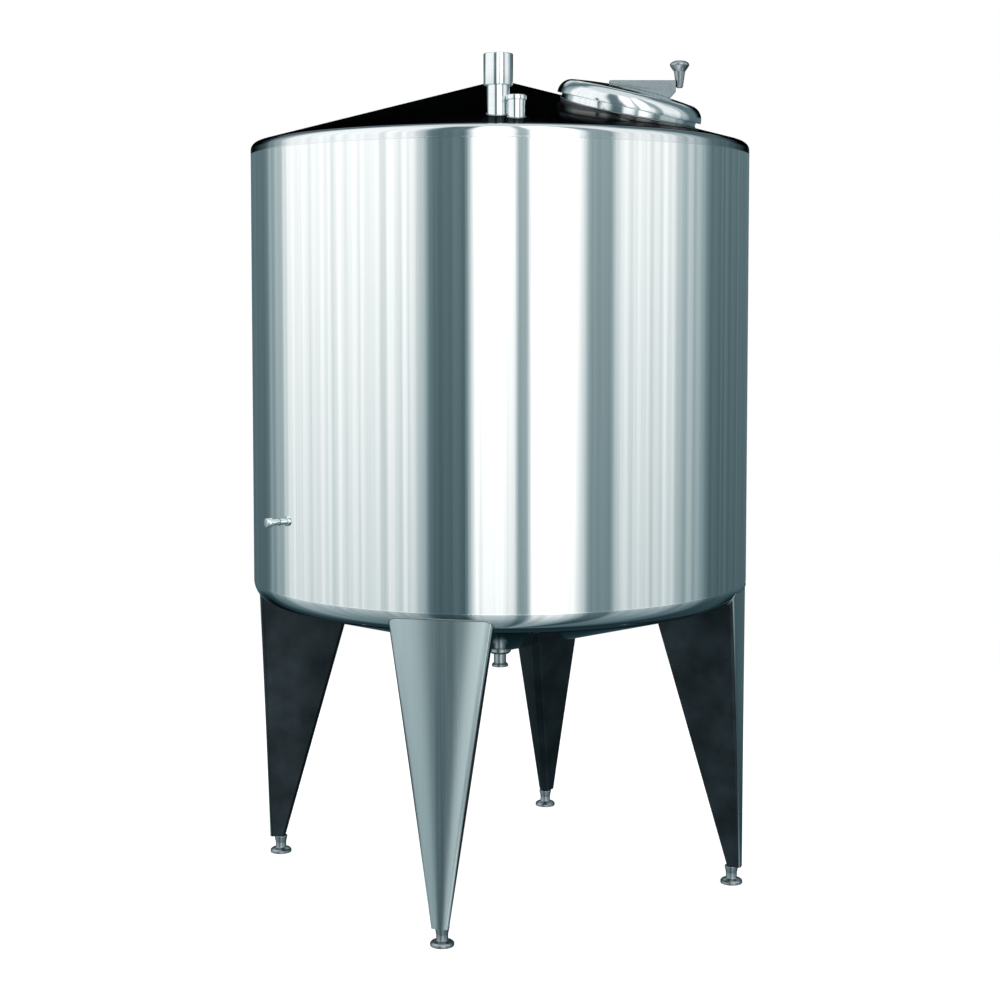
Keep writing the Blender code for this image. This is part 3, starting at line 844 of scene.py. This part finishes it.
def build_legs(materials):
    """Each leg is one folded sheet, closed by a plate at its lower end."""
    outer = leg_rows(0.0, 0.0)
    inner = leg_rows(LEG_SHEET, LEG_END_PLATE / (LEG_TOP - LEG_BOTTOM))
    for quarter, name in enumerate(LEG_NAMES):
        azimuth = quarter * math.pi / 2
        turn = Matrix.Rotation(azimuth - math.pi, 4, "Z")
        shape = bmesh.new()
        rings = [[shape.verts.new(point) for point in row] for row in outer + inner[::-1]]
        for low, high in zip(rings, rings[1:]):
            for i in range(len(low)):
                j = (i + 1) % len(low)
                shape.faces.new((low[i], low[j], high[j], high[i]))
        shape.faces.new(rings[0])
        shape.faces.new(rings[-1])
        leg = make_piece(f"leg_{name}_sheet", shape, materials["leg"], turn)
        dress(leg, "tank", "leg_steel", f"leg_{name}")
        weld = [turn @ Vector(point) for point in outer[-1]]
        build_bead(f"leg_{name}_weld", weld, LEG_BEAD, materials["weld"])


# Levelling feet

def build_feet(materials):
    """Each foot is a round plate and the smooth sleeve of its screw, which widens under the leg."""
    section = [
        (0.0, 0.0),
        (FOOT_PLATE_RADIUS, 0.0),
        (FOOT_PLATE_RADIUS, FOOT_PLATE_HEIGHT - FOOT_PLATE_SLOPE),
        (FOOT_PLATE_RADIUS - FOOT_PLATE_SLOPE, FOOT_PLATE_HEIGHT),
        (FOOT_STEM_RADIUS, FOOT_PLATE_HEIGHT + FOOT_PLATE_SLOPE),
        (FOOT_STEM_RADIUS, FOOT_TAPER_START),
        (FOOT_TOP_RADIUS, LEG_BOTTOM),
        (0.0, LEG_BOTTOM),
    ]
    profile = rounded(section, FOOT_EDGE)
    for quarter, name in enumerate(LEG_NAMES):
        place = Matrix.Translation(direction(quarter * math.pi / 2) * FOOT_RADIAL)
        foot = turned(f"foot_{name}_turned", profile, materials["satin"], place, FOOT_STEPS)
        dress(foot, "tank", "bright_steel", f"foot_{name}")


# Manway

def manway_matrix():
    """The manway's frame: on the roof's surface, W along the neck, U across towards the grip."""
    outward = direction(MANWAY_AZIMUTH)
    origin = outward * MANWAY_RADIAL
    origin.z = roof_height(MANWAY_RADIAL)
    normal = outward * math.sin(MANWAY_TILT) + Vector((0, 0, math.cos(MANWAY_TILT)))
    along = Vector((0, 0, 1)).cross(outward).normalized()
    downhill = along.cross(normal).normalized()
    across = downhill * math.cos(MANWAY_TURN) + along * math.sin(MANWAY_TURN)
    away = normal.cross(across).normalized()
    return Matrix.Translation(origin) @ Matrix((across, away, normal)).transposed().to_4x4()


def level_matrix():
    """The arm's frame: the manway's origin and heading, with Z upright."""
    manway = manway_matrix()
    heading = manway.col[0].to_3d()
    heading.z = 0.0
    heading.normalize()
    up = Vector((0, 0, 1))
    turn = Matrix((heading, up.cross(heading), up)).transposed().to_4x4()
    return Matrix.Translation(manway.to_translation()) @ turn


def lid_curve(inset):
    """The lid's dish from its middle to the skirt: a spherical crown that runs into a knuckle arc."""
    middle = (LID_RADIUS - LID_KNUCKLE, LID_SKIRT_TOP)
    rise = LID_CROWN - LID_SKIRT_TOP
    reach = middle[0] ** 2 + rise**2 - LID_KNUCKLE**2
    crown_radius = reach / (2 * (rise - LID_KNUCKLE))
    crown_middle = LID_CROWN - crown_radius
    meeting = math.atan2(middle[0], middle[1] - crown_middle)
    steep = math.pi / 2 - meeting
    crown = arc((0.0, crown_middle), crown_radius - inset, math.pi / 2, steep, LID_CROWN_STEPS)
    knuckle = arc(middle, LID_KNUCKLE - inset, steep, 0.0, LID_KNUCKLE_STEPS)
    return [(0.0, crown[0][1])] + crown[1:] + knuckle[1:]


def roof_curve(place, radius, axis_matrix=None, count=180):
    """Where a round pipe meets the roof: upright at a place, or along a frame's own Z axis."""
    points = []
    for step in range(count):
        angle = 2 * math.pi * step / count
        spoke = Vector((radius * math.cos(angle), radius * math.sin(angle), 0.0))
        if axis_matrix is None:
            point = Vector(place) + spoke
            point.z = roof_height(math.hypot(point.x, point.y))
            points.append(point)
            continue
        low, high = -NECK_SEARCH_REACH, NECK_SEARCH_REACH
        for _ in range(HALVINGS):
            middle = (low + high) / 2
            point = axis_matrix @ (spoke + Vector((0, 0, middle)))
            if point.z < roof_height(math.hypot(point.x, point.y)):
                low = middle
            else:
                high = middle
        points.append(point)
    return points


def softened_copy(name, node, material, width, body):
    """A copy of a CAD node's shape with its edges rounded, which stands for the node."""
    shape = bmesh.new()
    shape.from_mesh(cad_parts[node].data)
    bmesh.ops.remove_doubles(shape, verts=shape.verts, dist=MERGE_DISTANCE)
    bmesh.ops.dissolve_limit(shape, angle_limit=FLAT_ANGLE, verts=shape.verts, edges=shape.edges)
    made = make_piece(name, shape, material)
    bevel = made.modifiers.new("edges", "BEVEL")
    bevel.width = width
    bevel.segments = EDGE_SEGMENTS
    bevel.limit_method = "ANGLE"
    bevel.angle_limit = SHARP_ANGLE
    bevel.harden_normals = True
    return dress(made, body, "bright_steel", node)


def build_manway(materials):
    """The neck and its weld, the lid with its arm and grip, and the hinge behind it."""
    place = manway_matrix()
    bore = NECK_RADIUS - PLATE
    neck_section = [
        (NECK_RADIUS, NECK_INSIDE),
        (NECK_RADIUS, NECK_TOP),
        (bore, NECK_TOP),
        (bore, NECK_INSIDE),
    ]
    neck_section = rounded_loop(neck_section, SHEET_EDGE)
    neck = turned("neck", neck_section, materials["turned"], place, NECK_STEPS, closed=True)
    dress(neck, "tank", "bright_steel", "manway_neck")
    weld = roof_curve(None, NECK_RADIUS, place, count=360)
    build_bead("neck_weld", weld, NECK_BEAD, materials["weld"])
    half_sheet = LID_SHEET / 2
    edge_middle = (LID_RADIUS - half_sheet, LID_LOW + half_sheet)
    edge = arc(edge_middle, half_sheet, 0.0, -math.pi, LID_EDGE_STEPS)
    lid_section = lid_curve(0.0) + edge + lid_curve(LID_SHEET)[::-1]
    lid = turned("lid", lid_section, materials["dished"], place, LID_STEPS)
    dress(lid, "lid", "bright_steel", "manway_lid")
    grip_place = level_matrix() @ Matrix.Translation((GRIP_REACH, 0, 0))
    grip = turned("grip", rounded(GRIP_PROFILE, GRIP_EDGE), materials["satin"], grip_place, GRIP_STEPS)
    dress(grip, "lid", "bright_steel", "lid_grip")
    softened_copy("arm", "lid_arm", materials["arm"], ARM_EDGE, "lid")
    softened_copy("tongue", "hinge_tongue", materials["bright"], SHEET_EDGE, "lid")
    softened_copy("bracket", "hinge_bracket", materials["bright"], SHEET_EDGE, "tank")
    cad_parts["manway_gasket"].data.materials.clear()
    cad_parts["manway_gasket"].data.materials.append(materials["rubber"])
    build_hinge_pin(materials, place)


def build_hinge_pin(materials, place):
    """The pin, with a head outside each ear of the bracket."""
    profile = [
        (0.0, PIN_HALF_LENGTH),
        (PIN_HEAD_RADIUS, PIN_HALF_LENGTH),
        (PIN_HEAD_RADIUS, EAR_OUTER),
        (PIN_RADIUS, EAR_OUTER),
        (PIN_RADIUS, -EAR_OUTER),
        (PIN_HEAD_RADIUS, -EAR_OUTER),
        (PIN_HEAD_RADIUS, -PIN_HALF_LENGTH),
        (0.0, -PIN_HALF_LENGTH),
    ]
    turn = Matrix.Translation((0, HINGE_ACROSS, HINGE_HEIGHT)) @ Matrix.Rotation(math.pi / 2, 4, "Y")
    pin = turned("pin", rounded(profile, SHEET_EDGE), materials["turned"], place @ turn, SMALL_STEPS)
    dress(pin, "tank", "bright_steel", "hinge_pin")


# Pipes and ports

def build_roof_pipe(name, sizes, materials):
    """An upright pipe through the roof, its cap and its weld."""
    place = direction(math.radians(sizes["azimuth"])) * sizes["radial"]
    matrix = Matrix.Translation(place)
    low = roof_height(sizes["radial"]) - PIPE_INSIDE
    high = sizes["low"] + (sizes["top"] - sizes["low"]) * CAP_DEPTH
    bore = sizes["pipe"] - PIPE_WALL
    section = [(sizes["pipe"], low), (sizes["pipe"], high), (bore, high), (bore, low)]
    pipe = turned(f"{name}_tube", section, materials["turned"], matrix, PIPE_STEPS, closed=True)
    dress(pipe, "tank", "bright_steel", f"{name}_pipe")
    cap_section = [
        (0.0, sizes["top"]),
        (sizes["cap"], sizes["top"]),
        (sizes["cap"], sizes["low"]),
        (sizes["pipe"] + FIT_GAP, sizes["low"]),
        (sizes["pipe"] + FIT_GAP, high + FIT_GAP),
        (0.0, high + FIT_GAP),
    ]
    cap_section = rounded(cap_section, CAP_EDGE)
    cap = turned(f"{name}_cap_turned", cap_section, materials["turned"], matrix, PIPE_STEPS)
    dress(cap, "tank", "bright_steel", f"{name}_cap")
    build_bead(f"{name}_weld", roof_curve(place, sizes["pipe"]), PIPE_BEAD, materials["weld"])


def build_outlet(materials):
    """The pipe at the lowest point of the floor, its ferrule, and the pad that carries it."""
    top = WALL_BOTTOM - cone_tip(FLOOR) + PIPE_INSIDE
    bore = OUTLET_PIPE_RADIUS - PIPE_WALL
    section = [
        (OUTLET_PIPE_RADIUS, top),
        (OUTLET_PIPE_RADIUS, OUTLET_END + OUTLET_FERRULE_HEIGHT * 2),
        (OUTLET_FERRULE_RADIUS, OUTLET_END + OUTLET_FERRULE_HEIGHT),
        (OUTLET_FERRULE_RADIUS, OUTLET_END),
        (bore, OUTLET_END),
        (bore, top),
    ]
    section = rounded_loop(section, SHEET_EDGE)
    pipe = turned("outlet_tube", section, materials["satin"], None, PIPE_STEPS, closed=True)
    dress(pipe, "tank", "bright_steel", "outlet_pipe")
    pad_low = WALL_BOTTOM - cone_tip(FLOOR) - OUTLET_PAD_DROP
    pad_bore = OUTLET_PIPE_RADIUS + FIT_GAP
    pad_section = [
        (pad_bore, floor_height(OUTLET_PIPE_RADIUS) + OUTLET_PAD_SEAT),
        (OUTLET_PAD_RADIUS, floor_height(OUTLET_PAD_RADIUS) + OUTLET_PAD_SEAT),
        (OUTLET_PAD_RADIUS, pad_low + OUTLET_PAD_SLOPE),
        (OUTLET_PAD_RADIUS - OUTLET_PAD_SLOPE, pad_low),
        (pad_bore, pad_low),
    ]
    pad_section = rounded_loop(pad_section, PAD_EDGE)
    pad = turned("outlet_pad_turned", pad_section, materials["satin"], None, PIPE_STEPS, closed=True)
    dress(pad, "tank", "bright_steel", "outlet_pad")
    edge = ring_points(OUTLET_PIPE_RADIUS, pad_low, count=90)
    build_bead("outlet_weld", edge, OUTLET_BEAD, materials["weld"])


def build_port(materials):
    """The small capped port low on the wall."""
    outward = direction(PORT_AZIMUTH)
    turn = outward.to_track_quat("Z", "Y").to_matrix().to_4x4()
    matrix = Matrix.Translation(outward * TANK_RADIUS + Vector((0, 0, PORT_HEIGHT))) @ turn
    tube_section = [
        (0.0, PORT_LENGTH),
        (PORT_PIPE_RADIUS, PORT_LENGTH),
        (PORT_PIPE_RADIUS, -PORT_INSIDE),
        (0.0, -PORT_INSIDE),
    ]
    tube = turned("sample_tube", tube_section, materials["turned"], matrix, SMALL_STEPS)
    dress(tube, "tank", "bright_steel", "sample_port")
    end = PORT_LENGTH + PORT_CAP_LENGTH
    cap_section = [(0.0, end), (PORT_CAP_RADIUS, end), (PORT_CAP_RADIUS, PORT_LENGTH), (0.0, PORT_LENGTH)]
    cap_section = rounded(cap_section, PORT_EDGE)
    cap = turned("sample_cap", cap_section, materials["turned"], matrix, SMALL_STEPS)
    dress(cap, "tank", "bright_steel", "sample_port_cap")
    edge = [matrix @ point for point in ring_points(PORT_PIPE_RADIUS, 0.0, count=60)]
    build_bead("sample_weld", edge, PORT_BEAD, materials["weld"])


# Studio

def build_camera():
    data = bpy.data.cameras.new("camera")
    data.sensor_width = CAMERA_SENSOR
    data.lens = CAMERA_LENS
    data.shift_y = CAMERA_SHIFT
    data.clip_end = CAMERA_REACH
    camera = bpy.data.objects.new("camera", data)
    bpy.context.scene.collection.objects.link(camera)
    camera.location = direction(CAMERA_AZIMUTH) * CAMERA_DISTANCE + Vector((0, 0, CAMERA_HEIGHT))
    camera.rotation_euler = (math.pi / 2 - CAMERA_PITCH, 0.0, CAMERA_AZIMUTH)
    bpy.context.scene.camera = camera


def build_floor():
    """A wide pale floor whose far part fades into the backdrop."""
    shape = bmesh.new()
    bmesh.ops.create_grid(shape, x_segments=1, y_segments=1, size=FLOOR_SIZE / 2)
    material = bpy.data.materials.new("floor_paint")
    material.use_nodes = True
    tree = material.node_tree
    tree.nodes.clear()
    output = add_node(tree, "ShaderNodeOutputMaterial")
    paint = add_node(tree, "ShaderNodeBsdfDiffuse")
    paint.inputs["Color"].default_value = FLOOR_PAINT
    glow = add_node(tree, "ShaderNodeEmission")
    glow.inputs["Strength"].default_value = BACKDROP_LEVEL * FLOOR_GLOW
    near = add_node(tree, "ShaderNodeAddShader")
    far = add_node(tree, "ShaderNodeEmission")
    far.inputs["Strength"].default_value = BACKDROP_LEVEL
    place = add_node(tree, "ShaderNodeTexCoord")
    radius = add_node(tree, "ShaderNodeVectorMath", operation="LENGTH")
    fade = add_node(tree, "ShaderNodeMapRange", interpolation_type="SMOOTHSTEP")
    fade.inputs["From Min"].default_value = FLOOR_FADE_START
    fade.inputs["From Max"].default_value = FLOOR_FADE_END
    mix = add_node(tree, "ShaderNodeMixShader")
    tree.links.new(place.outputs["Object"], radius.inputs[0])
    tree.links.new(radius.outputs["Value"], fade.inputs["Value"])
    tree.links.new(paint.outputs["BSDF"], near.inputs[0])
    tree.links.new(glow.outputs["Emission"], near.inputs[1])
    tree.links.new(fade.outputs["Result"], mix.inputs["Fac"])
    tree.links.new(near.outputs["Shader"], mix.inputs[1])
    tree.links.new(far.outputs["Emission"], mix.inputs[2])
    tree.links.new(mix.outputs["Shader"], output.inputs["Surface"])
    floor = make_piece("studio_floor", shape, material)
    floor.visible_glossy = False


def elevation_ramp(tree, sine, stops):
    """A smooth factor by elevation, from stops of (degrees, level)."""
    ramp = add_node(tree, "ShaderNodeFloatCurve")
    curve = ramp.mapping.curves[0]
    ramp.mapping.clip_min_y = 0.0
    points = [((math.sin(math.radians(degrees)) + 1) / 2, level) for degrees, level in stops]
    curve.points[0].location = points[0]
    curve.points[1].location = points[-1]
    for point in points[1:-1]:
        curve.points.new(*point)
    for point in curve.points:
        point.handle_type = "VECTOR"
    ramp.mapping.update()
    half = add_node(tree, "ShaderNodeMath", operation="MULTIPLY_ADD")
    half.inputs[1].default_value = 0.5
    half.inputs[2].default_value = 0.5
    tree.links.new(sine, half.inputs[0])
    tree.links.new(half.outputs["Value"], ramp.inputs["Value"])
    return ramp.outputs["Value"]


def panel_light(tree, turn_share):
    """The panels' brightness for a share from 0 to 1 of the full turn, which starts behind the tank."""
    ramp = add_node(tree, "ShaderNodeValToRGB")
    elements = ramp.color_ramp.elements
    stops = []
    for start, end, level in PANELS:
        stops += [(start, level), (end, level)]
    while len(elements) < len(stops):
        elements.new(0.5)
    for element, (degrees, level) in zip(elements, stops):
        grey = level / PANEL_TOP_LEVEL
        element.position = (degrees + 180) / 360
        element.color = (grey, grey, grey, 1.0)
    tree.links.new(turn_share, ramp.inputs["Fac"])
    return multiply(tree, ramp.outputs["Color"], PANEL_TOP_LEVEL)


def tinted(tree, level):
    """Cool light: a dim panel is bluer than a bright one."""
    dim = add_node(tree, "ShaderNodeMath", operation="MINIMUM")
    dim.inputs[1].default_value = 1.0
    tree.links.new(level, dim.inputs[0])
    colour = add_node(tree, "ShaderNodeCombineColor")
    for power, channel in zip(PANEL_TINT, ("Red", "Green", "Blue")):
        share = add_node(tree, "ShaderNodeMath", operation="POWER")
        share.inputs[1].default_value = power - 1.0
        tree.links.new(dim.outputs["Value"], share.inputs[0])
        tree.links.new(multiply(tree, share.outputs["Value"], level), colour.inputs[channel])
    return colour.outputs["Color"]


def build_world():
    """Soft panels round the tank, a soft ceiling, a dim ground and a plain pale backdrop."""
    world = bpy.data.worlds.new("studio")
    bpy.context.scene.world = world
    world.use_nodes = True
    tree = world.node_tree
    tree.nodes.clear()
    output = add_node(tree, "ShaderNodeOutputWorld")
    place = add_node(tree, "ShaderNodeTexCoord")
    turn = add_node(tree, "ShaderNodeVectorRotate", rotation_type="Z_AXIS")
    turn.inputs["Angle"].default_value = math.pi / 2 - CAMERA_AZIMUTH
    tree.links.new(place.outputs["Generated"], turn.inputs["Vector"])
    azimuth = add_node(tree, "ShaderNodeTexGradient", gradient_type="RADIAL")
    tree.links.new(turn.outputs["Vector"], azimuth.inputs["Vector"])
    parts = add_node(tree, "ShaderNodeSeparateXYZ")
    tree.links.new(turn.outputs["Vector"], parts.inputs["Vector"])
    sine = parts.outputs["Z"]
    fade = elevation_ramp(tree, sine, PANEL_FADE)
    panels = multiply(tree, panel_light(tree, azimuth.outputs["Fac"]), fade)
    lines = add_node(tree, "ShaderNodeTexNoise", noise_dimensions="1D")
    lines.inputs["Scale"].default_value = PANEL_LINE_SCALE
    lines.inputs["Detail"].default_value = PANEL_LINE_DETAIL
    tree.links.new(azimuth.outputs["Fac"], lines.inputs["W"])
    line_light = remap(tree, lines.outputs["Fac"], 1.0 - PANEL_LINES, 1.0 + PANEL_LINES)
    panels = multiply(tree, panels, line_light)
    near = elevation_ramp(tree, sine, NEAR_LEVELS)
    far = elevation_ramp(tree, sine, FAR_LEVELS)
    behind = remap(tree, parts.outputs["X"], 1.0, 0.0, BEHIND_FULL, BEHIND_START)
    level = multiply(tree, panels, mix_values(tree, behind, near, far))
    ceiling = elevation_ramp(tree, sine, CEILING_SHARE)
    far_ceiling = elevation_ramp(tree, sine, FAR_CEILING_SHARE)
    overhead = mix_values(tree, behind, ceiling, far_ceiling)
    level = mix_values(tree, overhead, level, OVERHEAD_LEVEL)
    studio = add_node(tree, "ShaderNodeBackground")
    tree.links.new(tinted(tree, level), studio.inputs["Color"])
    backdrop = add_node(tree, "ShaderNodeBackground")
    backdrop.inputs["Color"].default_value = (1.0, 1.0, 1.0, 1.0)
    backdrop.inputs["Strength"].default_value = BACKDROP_LEVEL
    rays = add_node(tree, "ShaderNodeLightPath")
    mix = add_node(tree, "ShaderNodeMixShader")
    tree.links.new(rays.outputs["Is Camera Ray"], mix.inputs["Fac"])
    tree.links.new(studio.outputs["Background"], mix.inputs[1])
    tree.links.new(backdrop.outputs["Background"], mix.inputs[2])
    tree.links.new(mix.outputs["Shader"], output.inputs["Surface"])
    bpy.context.scene.view_settings.view_transform = "Standard"


def main():
    build_camera()
    build_world()
    build_floor()
    materials = make_materials()
    build_body(materials)
    build_wall_seams(materials)
    build_legs(materials)
    build_feet(materials)
    build_manway(materials)
    build_roof_pipe("inlet", INLET, materials)
    build_roof_pipe("vent", VENT, materials)
    build_outlet(materials)
    build_port(materials)


main()
